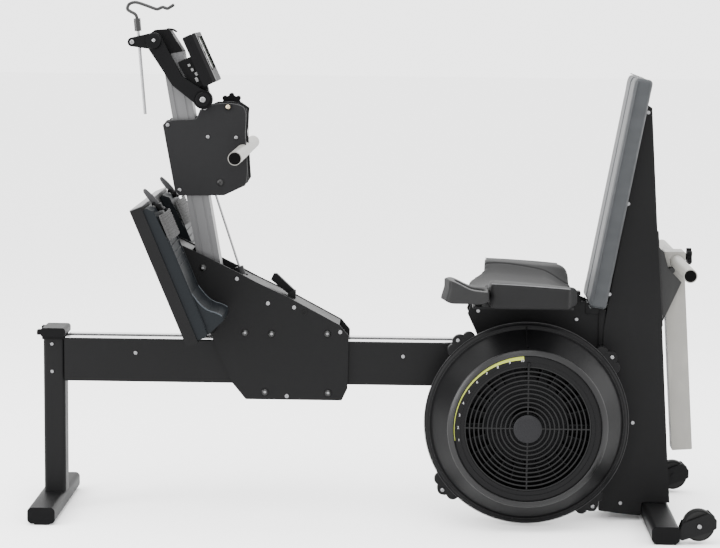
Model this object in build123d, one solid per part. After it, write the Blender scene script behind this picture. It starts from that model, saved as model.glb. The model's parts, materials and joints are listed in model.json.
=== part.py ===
from build123d import *
import os
from math import atan2, cos, degrees, hypot, pi, radians, sin

# Seated strength trainer with an air flywheel. Millimetres, +Z up, +X towards the back rest.
# The origin is on the floor, midway between the ends and midway between the sides.

# ---- driving dimensions -------------------------------------------------------------------
# Every side_* value is half a width: the shape runs from -side to +side in Y.
FOOT_SECTION = (72, 43)
FRONT_FOOT_X = -850
FRONT_FOOT_SIDE = 210
REAR_FOOT_X = 758
REAR_FOOT_SIDE = 314
PAD_THICK = 4
POST_X = (-872, -814)
POST_SIDE = 30

RAIL_X = (-812, 600)
RAIL_Z = (352, 468)
RAIL_SIDE = 47
RAIL_WALL = 4
TRACK_THICK = 2
TRACK_TOP = RAIL_Z[1] + TRACK_THICK

CARRIAGE_SIDE = 60
PLATE = 4
ROLLER_R = 19.7
UPPER_ROLLERS = ((-332, 490), (-115, 490))
LOWER_ROLLERS = ((-279, 332), (-112, 332))
AXLE_R = 6
RUNNING = 0.05

COLUMN_LEAN = 10
COLUMN_FOOT = (-403, 520)
COLUMN_LENGTH = 711
COLUMN_HALF = 29
COLUMN_SIDE = 30

BOARD_LEAN = 22.7
BOARD_FOOT = (-435, 496)
BOARD_LENGTH = 373
BOARD_CHANNEL = 31
BOARD_SIDE = 275

HANDLE_CENTRE = (-340, 968)
HANDLE_R = 17.4
HANDLE_SIDE = 306
SLIDER_SIDE = 46

ARM_TOP = (-572, 1252)
ARM_LOW = (-443, 1102)
ARM_Y = (-66, -50)
MONITOR_CENTRE = (-452, 1205)
MONITOR_LEAN = 24.3
MONITOR_HALF = 69
MONITOR_SIDE = 75

FAN_CENTRE = (408, 275)
FAN_FLANGE_R = 265
FAN_FLANGE_Y = -135
FAN_FACE_Y = -223
GRILLE_R = 161

SEAT_SIDE = 272
PAD_SIDE = 118
BACK_LEAN = 10.3
BACK_PAD_FOOT = (565, 582)

STORED_BAR = (799, 690)
STORED_SIDE = 330
WHEEL_AXLE = (842, 49)
WHEEL_R = 40

PARTS = {}


# ---- helpers ------------------------------------------------------------------------------
def across(outline, y_low, y_high):
    """Give a flat outline, drawn in X and Z, its thickness along Y."""
    return Pos(0, y_high, 0) * extrude(Plane.XZ * outline, amount=y_high - y_low)


def outline(points, corner=0.0):
    """A closed outline through the points, its corners rounded."""
    if corner:
        return make_face(FilletPolyline(*points, radius=corner, close=True))
    return make_face(Polyline(*points, close=True))


def slab(points, y_low, y_high, corner=0.0):
    return across(outline(points, corner), y_low, y_high)


def disc(centre, radius, y_low, y_high, hole=0.0):
    face = Pos(*centre) * Circle(radius)
    if hole:
        face -= Pos(*centre) * Circle(hole)
    return across(face, y_low, y_high)


def both_sides(shape):
    """The shape and its mirror image across the middle plane."""
    return [shape, mirror(shape, Plane.XZ)]


def block(x, y, z, edge=0.0, along=None):
    """A box from three ranges; edge rounds the long edges along one axis."""
    solid = Pos(sum(x) / 2, sum(y) / 2, sum(z) / 2) * Box(x[1] - x[0], y[1] - y[0], z[1] - z[0])
    if edge:
        solid = fillet(solid.edges().filter_by(along), edge)
    return solid


def leaned(origin, lean, along, out):
    """A point measured up a line that leans back towards -X, and out from it towards +X."""
    a = radians(lean)
    return (origin[0] - along * sin(a) + out * cos(a), origin[1] + along * cos(a) + out * sin(a))


def leaned_points(origin, lean, pairs):
    return [leaned(origin, lean, along, out) for along, out in pairs]


def link(start, start_r, end, end_r):
    """An outline round two circles, joined by straight flanks."""
    dx, dz = end[0] - start[0], end[1] - start[1]
    reach = hypot(dx, dz)
    nx, nz = -dz / reach, dx / reach
    flank = [
        (start[0] + nx * start_r, start[1] + nz * start_r),
        (end[0] + nx * end_r, end[1] + nz * end_r),
        (end[0] - nx * end_r, end[1] - nz * end_r),
        (start[0] - nx * start_r, start[1] - nz * start_r),
    ]
    return outline(flank) + Pos(*start) * Circle(start_r) + Pos(*end) * Circle(end_r)


def turned(profile, centre):
    """Spin a closed profile of (radius, y) points round an axis along Y through the centre."""
    face = make_face(Polyline(*profile, close=True))
    return Pos(centre[0], 0, centre[1]) * revolve(face, Axis.Y)


def button_head(centre, radius, y_face, outward, height=2.6):
    """A button-head screw that stands on a face and points away from it."""
    y_low, y_high = sorted((y_face, y_face + outward * height))
    head = disc(centre, radius, y_low, y_high)
    top = y_face + outward * height
    rim = [e for e in head.edges() if abs(e.center().Y - top) < 0.01]
    head = fillet(rim, height * 0.45)
    socket = Pos(*centre) * RegularPolygon(radius * 0.42, 6)
    s_low, s_high = sorted((top - outward * 1.2, top + outward))
    return head - across(socket, s_low, s_high)


def keep(name, shape):
    """Store one sub-part: one solid or a group of separate solids."""
    solids = []
    for item in shape if isinstance(shape, (list, tuple)) else [shape]:
        solids += list(item.solids())
    PARTS[name] = solids[0] if len(solids) == 1 else Compound(children=solids)


# ---- feet, post and rail ------------------------------------------------------------------
def foot_tube(x, side):
    width, height = FOOT_SECTION
    low = PAD_THICK
    tube = block((x - width / 2, x + width / 2), (-side, side), (low, low + height), 12, Axis.Y)
    bore = block((x - width / 2 + 3, x + width / 2 - 3), (-side, side), (low + 3, low + height - 3), 9, Axis.Y)
    return tube - bore


def foot_caps(x, side):
    """Moulded plugs: a face plate over the tube's end and a spigot inside it."""
    width, height = FOOT_SECTION
    low = PAD_THICK
    face = block((x - width / 2, x + width / 2), (-side - 4, -side), (low, low + height), 12, Axis.Y)
    spigot = block((x - width / 2 + 3.2, x + width / 2 - 3.2), (-side, -side + 18),
                   (low + 3.2, low + height - 3.2), 8.8, Axis.Y)
    return both_sides(face + spigot)


def foot_pads(x, side, width):
    pad = block((x - width / 2, x + width / 2), (-side, -side + 46), (0, PAD_THICK), 6, Axis.Z)
    return both_sides(pad)


def front_post():
    low = PAD_THICK + FOOT_SECTION[1]
    tube = block(POST_X, (-POST_SIDE, POST_SIDE), (low, 461), 9, Axis.Z)
    bore = block((POST_X[0] + 3, POST_X[1] - 3), (-POST_SIDE + 3, POST_SIDE - 3), (low, 461), 6, Axis.Z)
    flange = block((POST_X[1], RAIL_X[0]), (-40, 40), (RAIL_Z[0] + 6, RAIL_Z[1] - 8))
    return tube - bore + flange


CHAIN_SLOT = 8
SPROCKET_OPENING = (338, 512)


def rail():
    outer = block(RAIL_X, (-RAIL_SIDE, RAIL_SIDE), RAIL_Z, 4, Axis.X)
    inner_side = RAIL_SIDE - RAIL_WALL
    inner = block(RAIL_X, (-inner_side, inner_side), (RAIL_Z[0] + RAIL_WALL, RAIL_Z[1] - RAIL_WALL))
    slot = block(RAIL_X, (-CHAIN_SLOT, CHAIN_SLOT), (RAIL_Z[1] - 6, RAIL_Z[1] + 1))
    opening = block(SPROCKET_OPENING, (-32, 32), (RAIL_Z[0] - 1, RAIL_Z[0] + 6))
    return outer - inner - slot - opening


def rail_tracks():
    return both_sides(block((RAIL_X[0] + 2, 240), (-44, -18), (RAIL_Z[1], TRACK_TOP)))


def rail_end_cap():
    top = block((POST_X[0] - 4, RAIL_X[0] + 2), (-48, 48), (469, 493), 8, Axis.Y)
    seat = block((POST_X[0] - 2, POST_X[1]), (-34, 34), (461, 470))
    prong = block((POST_X[0] - 14, POST_X[0] - 2), (-44, -30), (474, 488), 3, Axis.Y)
    cap = top + seat
    for item in both_sides(prong):
        cap += item
    return cap


# ---- flywheel drive -----------------------------------------------------------------------
CHAIN_HALF = 4
CHAIN_GAP = 0.4
CHAIN_THICK = 6
FRONT_IDLER = (-762, 420, 20)
REAR_IDLER = (468, 415, 25)
SPROCKET = (FAN_CENTRE[0], FAN_CENTRE[1], 30)
GUIDE = (345, 385, 15)
SHAFT_R = 10


def tangent_points(first, second, side_first, side_second):
    """Where a straight run leaves one wheel and meets the next, each side being +1 or -1."""
    dx, dz = second[0] - first[0], second[1] - first[1]
    reach = hypot(dx, dz)
    turn = (side_first * first[2] - side_second * second[2]) / reach
    rest = (1 - turn * turn) ** 0.5
    ux, uz = dx / reach, dz / reach
    nx, nz = turn * ux - rest * uz, turn * uz + rest * ux
    leave = (first[0] + side_first * first[2] * nx, first[1] + side_first * first[2] * nz)
    meet = (second[0] + side_second * second[2] * nx, second[1] + side_second * second[2] * nz)
    return leave, meet


def chain_face(grow):
    """The area inside the chain's closed run, its wheels made larger or smaller by grow."""
    wheels = [(FRONT_IDLER, 1), (REAR_IDLER, 1), (SPROCKET, 1), (GUIDE, -1)]
    other = 2 * CHAIN_GAP + CHAIN_THICK - grow
    sized = [((x, z, r + (grow if side > 0 else other)), side) for (x, z, r), side in wheels]
    runs = []
    for n, (wheel, side) in enumerate(sized):
        following, next_side = sized[(n + 1) % len(sized)]
        runs.append(tangent_points(wheel, following, side, next_side))
    edges = []
    for n, (leave, meet) in enumerate(runs):
        edges.append(Line(leave, meet))
        (x, z, r), side = sized[(n + 1) % len(sized)]
        away = runs[(n + 1) % len(runs)][0]
        start = atan2(meet[1] - z, meet[0] - x)
        sweep = atan2(away[1] - z, away[0] - x) - start
        sweep = sweep % (2 * pi) - (2 * pi if side > 0 else 0)
        middle = start + sweep / 2
        edges.append(ThreePointArc(meet, (x + r * cos(middle), z + r * sin(middle)), away))
    return make_face(edges)


def drive_chain():
    low = CHAIN_GAP
    band = chain_face(low + CHAIN_THICK) - chain_face(low)
    return across(band, -CHAIN_HALF, CHAIN_HALF)


def wheel(place, hole, half_width, rim=1.5):
    """A grooved wheel on an axis along Y: the chain lies between its two rims."""
    x, z, r = place
    body = disc((x, z), r, -half_width, half_width)
    for y in (-half_width - rim, half_width):
        body += disc((x, z), r + 5, y, y + rim)
    return body - disc((x, z), hole, -half_width - rim - 1, half_width + rim + 1)


def drive_sprocket():
    x, z, r = SPROCKET
    body = disc((x, z), r, -CHAIN_HALF, CHAIN_HALF)
    body += disc((x, z), 20, -22, 22)
    return body - disc((x, z), SHAFT_R + RUNNING, -30, 30)


def idler(place):
    return wheel(place, AXLE_R + RUNNING, CHAIN_HALF + 0.5)


def chain_guides():
    """Idler pins across the rail, and the fixed shoe that turns the chain back along it."""
    inner_side = RAIL_SIDE - RAIL_WALL
    pins = [disc((x, z), AXLE_R, -inner_side, inner_side) for x, z, r in (FRONT_IDLER, REAR_IDLER)]
    x, z, r = GUIDE
    shoe = disc((x, z), r, -inner_side, inner_side)
    return pins + [shoe]


def drive_plates():
    x, z = FAN_CENTRE
    shape = outline([(x - 72, 404), (x + 72, 404), (x + 48, z - 30), (x - 48, z - 30)], 14)
    shape -= Pos(x, z) * Circle(22)
    return both_sides(across(shape, -RAIL_SIDE - 5, -RAIL_SIDE))


def axle_bearings():
    return both_sides(disc(FAN_CENTRE, 22, -RAIL_SIDE - 5, -RAIL_SIDE + 7, SHAFT_R + RUNNING))


def flywheel():
    x, z = FAN_CENTRE
    outer_r, disc_y, ring_y = 225, -96, -160
    wheel_disc = disc(FAN_CENTRE, outer_r, disc_y, disc_y + 6)
    hub = disc(FAN_CENTRE, 34, ring_y, disc_y + 12)
    ring = disc(FAN_CENTRE, outer_r, ring_y - 4, ring_y, outer_r - 30)
    vane = block((x + 110, x + outer_r - 1), (ring_y, disc_y), (z - 1.5, z + 1.5))
    body = wheel_disc + hub + ring
    vanes = 24
    for n in range(vanes):
        body += Pos(x, 0, z) * (Rot(0, 360 / vanes * n, 0) * (Pos(-x, 0, -z) * vane))
    shaft = disc(FAN_CENTRE, SHAFT_R, -200, RAIL_SIDE + 12)
    return body + shaft


def fan_housing_back():
    profile = [
        (265, -134.8), (265, -129), (252, -122), (238, -76), (224, -66), (60, -66), (54, -52),
        (23, -52), (23, -56), (50, -56), (56, -70), (221, -70), (234, -79), (248, -126), (259, -134.8),
    ]
    shell = turned(profile, FAN_CENTRE)
    for angle in LUG_ANGLES:
        shell += lug(angle, FAN_FLANGE_Y + 0.2, FAN_FLANGE_Y + 6)
    return shell


LUG_ANGLES = (39, 130, 220, 309)
LUG_REACH = 281


def lug_centre(angle):
    return (FAN_CENTRE[0] + LUG_REACH * cos(radians(angle)), FAN_CENTRE[1] + LUG_REACH * sin(radians(angle)))


def lug(angle, y_low, y_high):
    root = (FAN_CENTRE[0] + 250 * cos(radians(angle)), FAN_CENTRE[1] + 250 * sin(radians(angle)))
    ear = across(link(root, 26, lug_centre(angle), 13), y_low, y_high)
    return ear - disc(FAN_CENTRE, 262, y_low, y_high)


def fan_housing_front():
    profile = [
        (265, -135), (265, -143), (258, -149), (248, -152), (206, -212), (198, -219), (186, FAN_FACE_Y),
        (174.2, FAN_FACE_Y), (174.2, -217), (163, -217), (163, -213), (180, -213), (194, -213), (202, -207),
        (244, -146), (259, -135),
    ]
    shell = turned(profile, FAN_CENTRE)
    for angle in LUG_ANGLES:
        shell += lug(angle, -142, FAN_FLANGE_Y)
    return shell


def fan_grille():
    """Concentric wire rings, a plain hub disc and four thin spokes."""
    rings, first, wire = 11, 46, 3.2
    pitch = (GRILLE_R - first) / (rings - 1)
    body = disc(FAN_CENTRE, 36, -221, -213)
    for n in range(rings):
        r = first + pitch * n
        body += disc(FAN_CENTRE, r + wire / 2, -219, -215, r - wire / 2)
    x, z = FAN_CENTRE
    body += block((x - GRILLE_R, x + GRILLE_R), (-217, -214), (z - 1.5, z + 1.5))
    body += block((x - 1.5, x + 1.5), (-217, -214), (z - GRILLE_R, z + GRILLE_R))
    return body


def damper_ring():
    """The air door's ring, which turns in its groove by a small thumb tab."""
    ring = disc(FAN_CENTRE, 173.9, -221.5, -217.3, 163.4)
    x, z = FAN_CENTRE
    tab = block((x - 3, x + 3), (-227, -219), (z + 160, z + 173), 1.2, Axis.Z)
    return ring + tab


# ---- seat and back rest -------------------------------------------------------------------
def seat_frame():
    """Side brackets that stand on the rail, and the pan that carries the seat."""
    side = [(266, 585), (253, 548), (272, 508), (300, 440), (310, 410), (596, 410), (604, 508), (604, 562),
            (556, 585)]
    bracket = slab(side, -RAIL_SIDE - 4, -RAIL_SIDE, 6)
    pan = block((262, 520), (-225, 225), (585, 591), 14, Axis.Z)
    tie = block((566, 602), (-RAIL_SIDE, RAIL_SIDE), (520, 560))
    return both_sides(bracket) + [pan, tie]


def seat_pad():
    plan = make_face(FilletPolyline(
        (306, -SEAT_SIDE), (505, -SEAT_SIDE), (530, -190), (532, 0), (530, 190), (505, SEAT_SIDE),
        (306, SEAT_SIDE), (300, 150), (262, 90), (252, 0), (262, -90), (300, -150), radius=16, close=True))
    body = Pos(0, 0, 592) * extrude(plan, amount=66)
    dip = Pos(400, 0, 634 + 845) * (Rot(0, 90, 0) * Cylinder(845, 400))
    return body - dip


def seat_grip():
    """The single hand grip at the seat's near front corner, with a finger slot."""
    shape = make_face(FilletPolyline((178, -246), (194, -292), (304, -292), (304, -200), (194, -200),
                                     radius=12, close=True))
    loop = Pos(0, 0, 606) * extrude(shape, amount=38)
    slot = make_face(FilletPolyline((210, -262), (206, -228), (290, -228), (294, -262), radius=9, close=True))
    loop -= Pos(0, 0, 600) * extrude(slot, amount=60)
    stem = block((266, 286), (-220, -190), (591, 612))
    return loop + stem - block((302, 340), (-300, -150), (580, 700))


BACK_PLATE = [(710, 1101), (722, 1093), (746, 743), (762, 537), (785, 187), (795, 50), (722, 50), (719, 14),
              (656, 20), (608, 26), (610, 509), (619, 570), (704, 1070)]


def back_frame():
    """A folded box: two side plates and the webs that join them, open underneath."""
    outer = slab(BACK_PLATE, -CARRIAGE_SIDE, CARRIAGE_SIDE)
    inner = slab([(712, 1083), (741, 743), (757, 537), (780, 187), (790, 54), (718, 54), (714, 10),
                  (613, 10), (615, 509), (624, 570)], -CARRIAGE_SIDE + PLATE, CARRIAGE_SIDE - PLATE)
    return outer - inner


def back_pad():
    """Plain body of the cushion, in front of the frame."""
    pairs = [(0, 3), (3, 0), (588, 0), (600, 12), (600, 38), (590, 47), (6, 47), (0, 41)]
    return slab(leaned_points(BACK_PAD_FOOT, -BACK_LEAN, pairs), -PAD_SIDE, PAD_SIDE)


ARM_PLATE = [(794.2, 10), (794.2, 40), (800, 56), (868, 84), (886, 66), (886, 44), (872, 36)]


def caster_arms():
    """Two forks behind the rear foot, with the pins that the wheels turn on."""
    outer = slab(ARM_PLATE, -REAR_FOOT_SIDE, -REAR_FOOT_SIDE + 4, 5)
    inner = slab(ARM_PLATE, -REAR_FOOT_SIDE + 38, -REAR_FOOT_SIDE + 42, 5)
    pin = disc(WHEEL_AXLE, AXLE_R, -REAR_FOOT_SIDE - 2, -REAR_FOOT_SIDE + 44)
    fork = outer + inner + pin
    return both_sides(fork)


def caster_wheel(side):
    low, high = sorted((side * (REAR_FOOT_SIDE - 8), side * (REAR_FOOT_SIDE - 34)))
    tyre = disc(WHEEL_AXLE, WHEEL_R, low, high)
    rims = [e for e in tyre.edges() if e.geom_type == GeomType.CIRCLE]
    tyre = fillet(rims, 7)
    return tyre - disc(WHEEL_AXLE, AXLE_R + RUNNING, low - 1, high + 1)


def storage_bracket():
    side = [(752, 727), (764, 716), (776, 674), (812, 637), (776, 556), (766, 534)]
    plate = slab(side, -46, -42)
    web = slab([(744.5, 770), (749, 770), (766.5, 520), (762, 520)], -46, 46)
    cheeks = both_sides(plate)
    body = web
    for cheek in cheeks:
        body += cheek
    rest = disc((786, 667.4), 8, -43, -26)
    for bar in both_sides(rest):
        body += bar
    return body - slab(BACK_PLATE, -50, 50)


# ---- carriage -----------------------------------------------------------------------------
CARRIAGE_EDGE = [(-534, 736), (-463, 703), (-399, 673), (-346, 647), (-304, 625), (-204, 578), (-82, 513),
                 (-59, 486), (-61, 344), (-76, 312), (-330, 312), (-366, 356)]


def carriage_plates():
    """The two side plates, and the spacers that hold them apart above the rail."""
    plate = slab(CARRIAGE_EDGE, -CARRIAGE_SIDE, -CARRIAGE_SIDE + PLATE, 4)
    inner = CARRIAGE_SIDE - PLATE
    spacers = [disc(c, 7, -inner, inner) for c in ((-499, 697), (-203, 546), (-173, 320))]
    clamp = disc((-262, 491), 7, -inner, inner) + block((-274, -250), (-7.4, 7.4), (447.5, 500))
    for cheek in both_sides(block((-274, -250), (-7.4, -4.6), (438, 448))):
        clamp += cheek
    pivot = disc(strut_run(STRUT_LENGTH, 0), 5, -inner, inner)
    return both_sides(plate) + spacers + [clamp, pivot]


def carriage_cover():
    """The folded band that closes the top of the carriage, behind the column and in front of it."""
    front = [(-522, 727.5), (-474, 705.2), (-475.8, 701.2), (-524, 723.5)]
    rear = [(-340, 640.5), (-304, 623), (-204, 576), (-84, 512), (-86, 508), (-206, 572), (-306, 619), (-342, 636.5)]
    inner = CARRIAGE_SIDE - PLATE
    band = slab(rear, -inner, inner)
    band -= slab([(-345, 600), (-330, 600), (-330, 660), (-345, 660)], -14, 14)
    for ear in both_sides(slab([(-222, 570), (-202, 570), (-202, 596), (-210, 598), (-222, 592)], -13, -10)):
        band += ear
    band += disc(LEVER_PIVOT, 3, -13, 13)
    return [slab(front, -inner, inner), band]


LEVER_PIVOT = (-212, 590)
CARRIAGE_SCREWS = ((-499, 705), (-354, 633), (-272, 569), (-203, 559), (-81, 495), (-221, 322))
CARRIAGE_BOLTS = ((-443, 661), (-332, 490), (-262, 488), (-115, 490), (-279, 332), (-112, 332))


def carriage_screws():
    heads = [button_head(c, 5.5, -CARRIAGE_SIDE, -1) for c in CARRIAGE_SCREWS]
    heads += [button_head(c, 8, -CARRIAGE_SIDE, -1, 3.4) for c in CARRIAGE_BOLTS]
    everything = []
    for head in heads:
        everything += both_sides(head)
    return everything


def roller(centre, radius):
    """Two wheels on one sleeve, which turns on the carriage's through pin."""
    body = disc(centre, 12, -54, 54)
    for low in (-43, 19):
        body += disc(centre, radius, low, low + 24)
    return body - disc(centre, AXLE_R + RUNNING, -60, 60)


def column_run(along, out):
    return leaned(COLUMN_FOOT, COLUMN_LEAN, along, out)


def column():
    """Grooved alloy extrusion that the slider runs on."""
    half, side = COLUMN_HALF, COLUMN_SIDE
    body = slab([column_run(a, o) for a, o in ((0, -half), (COLUMN_LENGTH, -half), (COLUMN_LENGTH, half),
                                               (0, half))], -side, side)
    bore = half - 5
    body -= slab([column_run(a, o) for a, o in ((-1, -bore), (COLUMN_LENGTH + 1, -bore),
                                                (COLUMN_LENGTH + 1, bore), (-1, bore))], -side + 6, side - 6)
    for centre in (-14, 14):
        groove = slab([column_run(a, centre + o) for a, o in ((-1, -2.5), (COLUMN_LENGTH + 1, -2.5),
                                                              (COLUMN_LENGTH + 1, 2.5), (-1, 2.5))],
                      -side - 1, -side + 2.5)
        for cut in both_sides(groove):
            body -= cut
    return body


def column_base():
    """Clamp blocks that hold the column between the carriage plates."""
    inner = CARRIAGE_SIDE - PLATE
    half = COLUMN_HALF
    blocks = []
    for along in (4, 96):
        corners = [column_run(a, o) for a, o in ((along, -half), (along + 36, -half), (along + 36, half),
                                                 (along, half))]
        blocks += both_sides(slab(corners, -inner, -COLUMN_SIDE))
    return blocks


def column_head():
    """Moulded head that plugs the column and holds the arm's upper pivot."""
    left = column_run(COLUMN_LENGTH, -COLUMN_HALF)
    right = column_run(COLUMN_LENGTH, COLUMN_HALF)
    shape = [left, right, (-535, 1283), (-572, 1280), (-596, 1262), (-598, 1240), (-580, 1222)]
    body = slab(shape, -32, 32)
    body += disc(ARM_TOP, 20, ARM_Y[1] + 0.4, -30)
    body += disc(ARM_TOP, AXLE_R, ARM_Y[0] - 2, -30)
    body += disc(ARM_TOP, 9, ARM_Y[0] - 5, ARM_Y[0] - 0.4)
    route = FilletPolyline((-548, -10, 1272), (-541, -10, 1283), (-527, -10, 1281), (-518, -10, 1275),
                           radius=2.5)
    wire = sweep(Plane(route @ 0, z_dir=route % 0) * Circle(2), path=route)
    return body + wire + mirror(wire, Plane.XZ)


def foot_plate():
    """Folded channel behind both foot boards, its flanges turned back."""
    def at(pairs):
        return leaned_points(BOARD_FOOT, BOARD_LEAN, pairs)
    length, depth = BOARD_LENGTH, BOARD_CHANNEL
    body = slab(at([(0, -depth), (length, -depth), (length, 0), (0, 0)]), -BOARD_SIDE, BOARD_SIDE)
    body -= slab(at([(3, -depth - 1), (length - 3, -depth - 1), (length - 3, -3), (3, -3)]),
                 -BOARD_SIDE + 3, BOARD_SIDE - 3)
    return body


BOARD_THICK = 30
BOARD_Y = (-270, -96)


def on_board(along, out):
    return leaned(BOARD_FOOT, BOARD_LEAN, along, out)


def foot_boards():
    corners = [on_board(a, o) for a, o in ((6, 0), (362, 0), (366, 8), (352, 24), (250, BOARD_THICK),
                                           (10, BOARD_THICK), (4, 20))]
    return both_sides(slab(corners, BOARD_Y[0], BOARD_Y[1]))


def foot_straps():
    """A toe band that arches over each board, and the tongue it is pulled by."""
    low, high = BOARD_Y
    width, start, rise, thick = 58, 276, 24, 3
    arch = [(low + 2, 0), (low + 16, rise * 0.8), (low + 44, rise), (high - 44, rise), (high - 16, rise * 0.8),
            (high - 2, 0)]
    inside = [(low + 2 + thick, -1), (low + 18, rise * 0.8 - thick), (low + 45, rise - thick),
              (high - 45, rise - thick), (high - 18, rise * 0.8 - thick), (high - 2 - thick, -1)]
    band = make_face(Polyline(*arch, close=True)) - make_face(Polyline(*inside, close=True))
    x, z = on_board(start, BOARD_THICK + 0.3)
    a = radians(BOARD_LEAN)
    place = Plane(origin=(x, 0, z), x_dir=(0, 1, 0), z_dir=(sin(a), 0, -cos(a)))
    strap = extrude(place * band, amount=-width)
    tongue = slab([on_board(o, t) for o, t in ((367, 10), (404, 7), (406, 9), (369, 13))], -198, -166)
    return both_sides(strap) + both_sides(tongue)


def heel_cup(side):
    corners = [on_board(a, o) for a, o in ((121, 30.4), (92, 38), (66, 52), (50, 74), (38, 82), (27, 80),
                                           (14.5, 48), (8, 30.4))]
    cup = slab(corners, BOARD_Y[0] + 6, BOARD_Y[1] - 6)
    return cup if side < 0 else mirror(cup, Plane.XZ)


def selector_lever():
    """Flat thumb lever in the carriage's top edge."""
    shape = [(-268, 625), (-261, 641), (-252, 641), (-206, 598), (-204, 585), (-216, 584)]
    lever = slab(shape, -9.5, 9.5, 2)
    return lever - disc(LEVER_PIVOT, 3 + RUNNING, -10, 10)


STRUT_EYE = (-427, 884)
STRUT_LEAN = 18.2
STRUT_LENGTH = 410


def strut_run(along, out):
    return leaned(STRUT_EYE, STRUT_LEAN, -along, out)


def strut_box(start, end, radius):
    """A round bar along the strut's own line."""
    a, b = strut_run(start, 0), strut_run(end, 0)
    direction = (b[0] - a[0], 0, b[1] - a[1])
    return extrude(Plane(origin=(a[0], 0, a[1]), z_dir=direction) * Circle(radius), amount=end - start)


def strut_cylinder():
    tube = strut_box(238, 396, 11) - strut_box(236, 390, 9)
    tube += strut_box(238, 244, 11) - strut_box(236, 250, 3 + RUNNING)
    eye = disc(strut_run(STRUT_LENGTH, 0), 9, -8, 8)
    neck = strut_box(394, STRUT_LENGTH - 6, 6)
    return tube + neck + eye - disc(strut_run(STRUT_LENGTH, 0), 5 + RUNNING, -10, 10)


def strut_rod():
    rod = strut_box(7.5, 250, 3)
    piston = strut_box(250, 256, 8.8)
    eye = disc(STRUT_EYE, 8.5, -5, 5)
    return rod + piston + eye - disc(STRUT_EYE, 6, -8, 8)


# ---- slider, handle and monitor -----------------------------------------------------------
SLIDER_EDGE = [(-550, 1033), (-539, 1047), (-470, 1048), (-460, 1052), (-453, 1074), (-413, 1092), (-353, 1091),
               (-330, 1077), (-335, 1013), (-325, 893), (-335, 877), (-389, 851), (-506, 849), (-519, 863)]
SLIDER_SCREWS = ((-537, 1034), (-432, 1004), (-358, 1003), (-506, 864))
KNOB_CENTRE = (-379, 1083)


def slider_plates():
    """Side plates, the spacers between them and the guide rollers beside the column."""
    shape = outline(SLIDER_EDGE, 5) - Pos(*HANDLE_CENTRE) * Circle(HANDLE_R) - Pos(*KNOB_CENTRE) * Circle(6.1)
    plate = across(shape, -SLIDER_SIDE, -SLIDER_SIDE + PLATE)
    inner = SLIDER_SIDE - PLATE
    reach = COLUMN_HALF + 8.4
    places = ((362, -reach), (532, -reach), (406, reach), (532, reach))
    guides = [disc(column_run(along, out), 8, -inner, inner) for along, out in places]
    spacers = [disc(c, 6, -inner, inner) for c in SLIDER_SCREWS[1:3]]
    eye_pin = disc(STRUT_EYE, 4, -inner, inner)
    return both_sides(plate) + guides + spacers + [eye_pin]


def handle_bar():
    """One tube across the machine, with a plug in each end."""
    tube = disc(HANDLE_CENTRE, HANDLE_R, -HANDLE_SIDE, HANDLE_SIDE, HANDLE_R - 3)
    plug = disc(HANDLE_CENTRE, HANDLE_R - 3, -HANDLE_SIDE + 0, -HANDLE_SIDE + 20)
    plug += disc(HANDLE_CENTRE, HANDLE_R - 3, -HANDLE_SIDE - 3, -HANDLE_SIDE)
    return [tube] + both_sides(plug)


def slider_knob():
    """Scalloped hand knob on the far side; its screw passes through both plates."""
    face = Pos(*KNOB_CENTRE) * Circle(25)
    lobes = 8
    for n in range(lobes):
        angle = 2 * pi * n / lobes
        face += Pos(KNOB_CENTRE[0] + 25 * cos(angle), KNOB_CENTRE[1] + 25 * sin(angle)) * Circle(6.5)
    head = across(face, SLIDER_SIDE + 8, SLIDER_SIDE + 26)
    collar = disc(KNOB_CENTRE, 11, SLIDER_SIDE + 0.4, SLIDER_SIDE + 8)
    screw = disc(KNOB_CENTRE, AXLE_R, -SLIDER_SIDE - 1, SLIDER_SIDE + 8)
    nose = disc(KNOB_CENTRE, 9, -SLIDER_SIDE - 6, -SLIDER_SIDE - 0.4)
    return head + collar + screw + nose


EAR = (-627, 1249)
HOLDER_TOP = (-613, 1286)
HOLDER_FOOT = (-595, 1070)


def between(start, end, y, radius, grow=0.0):
    """A round bar between two points, at one Y."""
    dx, dz = end[0] - start[0], end[1] - start[1]
    reach = hypot(dx, dz)
    sx, sz = start[0] - dx / reach * grow, start[1] - dz / reach * grow
    place = Plane(origin=(sx, y, sz), z_dir=(dx, 0, dz))
    return extrude(place * Circle(radius), amount=reach + 2 * grow)


ROD_Y = -58
ROD_R = 4.0


def monitor_arm():
    """Bowed arm from the column head to the monitor, with an ear for the device holder."""
    dx, dz = ARM_LOW[0] - ARM_TOP[0], ARM_LOW[1] - ARM_TOP[1]
    reach = hypot(dx, dz)
    ux, uz = dx / reach, dz / reach
    bow = (ARM_TOP[0] + dx * 0.6 + uz * 20, ARM_TOP[1] + dz * 0.6 - ux * 20)
    shape = link(ARM_TOP, 22, bow, 17) + link(bow, 17, ARM_LOW, 21) + Pos(*ARM_LOW) * Circle(25)
    shape += link(ARM_TOP, 22, EAR, 12)
    shape -= Pos(*ARM_TOP) * Circle(AXLE_R + RUNNING)
    shape -= Pos(*ARM_LOW) * Circle(5 + RUNNING)
    body = across(shape, *ARM_Y)
    bore = between(HOLDER_TOP, HOLDER_FOOT, ROD_Y, ROD_R + RUNNING, 40)
    return body - bore


def monitor_run(along, out):
    return leaned(MONITOR_CENTRE, MONITOR_LEAN, along, out)


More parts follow.
